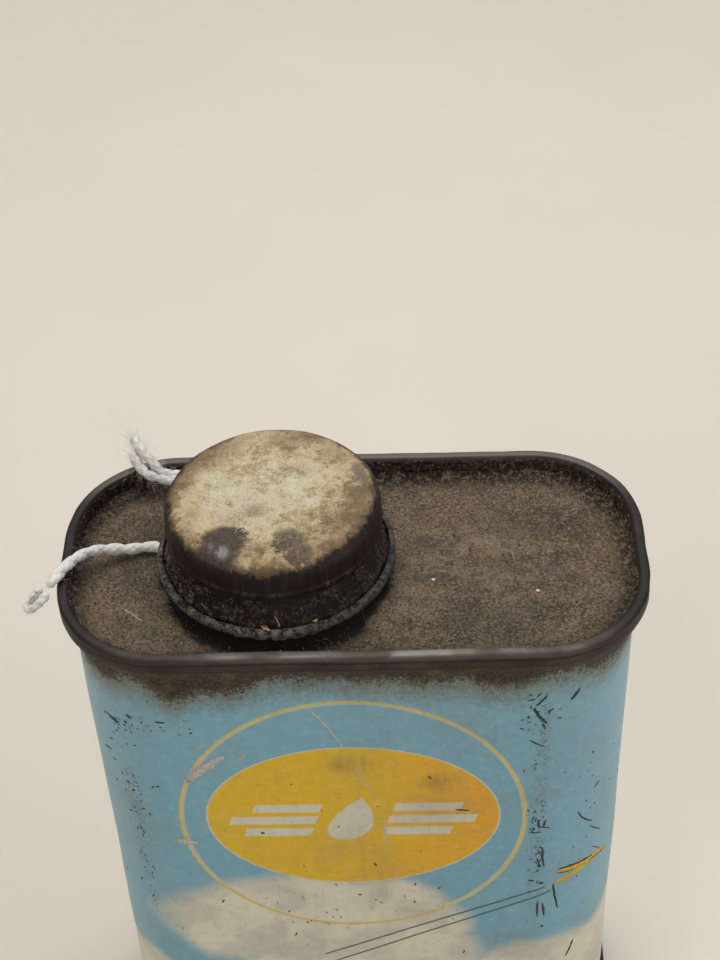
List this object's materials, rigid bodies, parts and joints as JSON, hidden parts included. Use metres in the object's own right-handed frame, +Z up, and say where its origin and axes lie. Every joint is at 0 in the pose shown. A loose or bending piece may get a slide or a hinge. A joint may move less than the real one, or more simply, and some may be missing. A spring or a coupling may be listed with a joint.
{
  "type": "screw-cap oil tin",
  "caption": "Small oblong litho-printed tin can with rounded corners, seamed ends, an off-centre screw cap on a threaded neck, and a cotton string tied round the neck.",
  "frame": {"origin": "middle of the can in plan, on the surface that its bottom seam stands on", "axes": "+Z up through the cap, +X along the can's long side, +Y to its back"},
  "size_m": [0.1036, 0.0507, 0.1399],
  "materials": {
    "litho_wall": "sky-blue lithographed tinplate, scratched, satin",
    "rusty_tinplate": "rust-brown, dusty tinplate with dark worn seams",
    "solder": "dull grey solder",
    "seam_compound": "dull brown sealing compound",
    "neck_tinplate": "bare tinplate, tarnished",
    "cap_enamel": "cream enamel stained amber, chipped to dark rust at the edges",
    "liner_board": "pulpboard",
    "liner_foil": "dull foil",
    "cotton_string": "off-white twisted cotton, fuzzy"
  },
  "bodies": {
    "can": {"body_wrap": "litho_wall", "side_seam_solder": "solder", "top_end": "rusty_tinplate", "bottom_end": "rusty_tinplate", "top_seam_compound": "seam_compound", "bottom_seam_compound": "seam_compound", "neck": "neck_tinplate", "neck_solder": "solder", "string": "cotton_string", "string_end_loop": "cotton_string", "string_back_end_1": "cotton_string", "string_back_end_2": "cotton_string"},
    "cap_liner": {"cap_liner_board": "liner_board", "cap_liner_foil": "liner_foil"},
    "cap": {"cap_shell": "cap_enamel"}
  },
  "joints": [
    {"name": "cap_rise", "type": "slide", "parent": "can", "child": "cap_liner", "axis": [0, 0, 1], "range_m": [0, 0.0128]},
    {"name": "cap_turn", "type": "hinge", "parent": "cap_liner", "child": "cap", "pos_m": [-0.0128, 0, 0.13], "axis": [0, 0, 1], "range_deg": [0, 1440]}
  ],
  "couplings": [
    {"joint": "cap_rise", "follows": "cap_turn", "m_per_rad": 0.00050532}
  ]
}
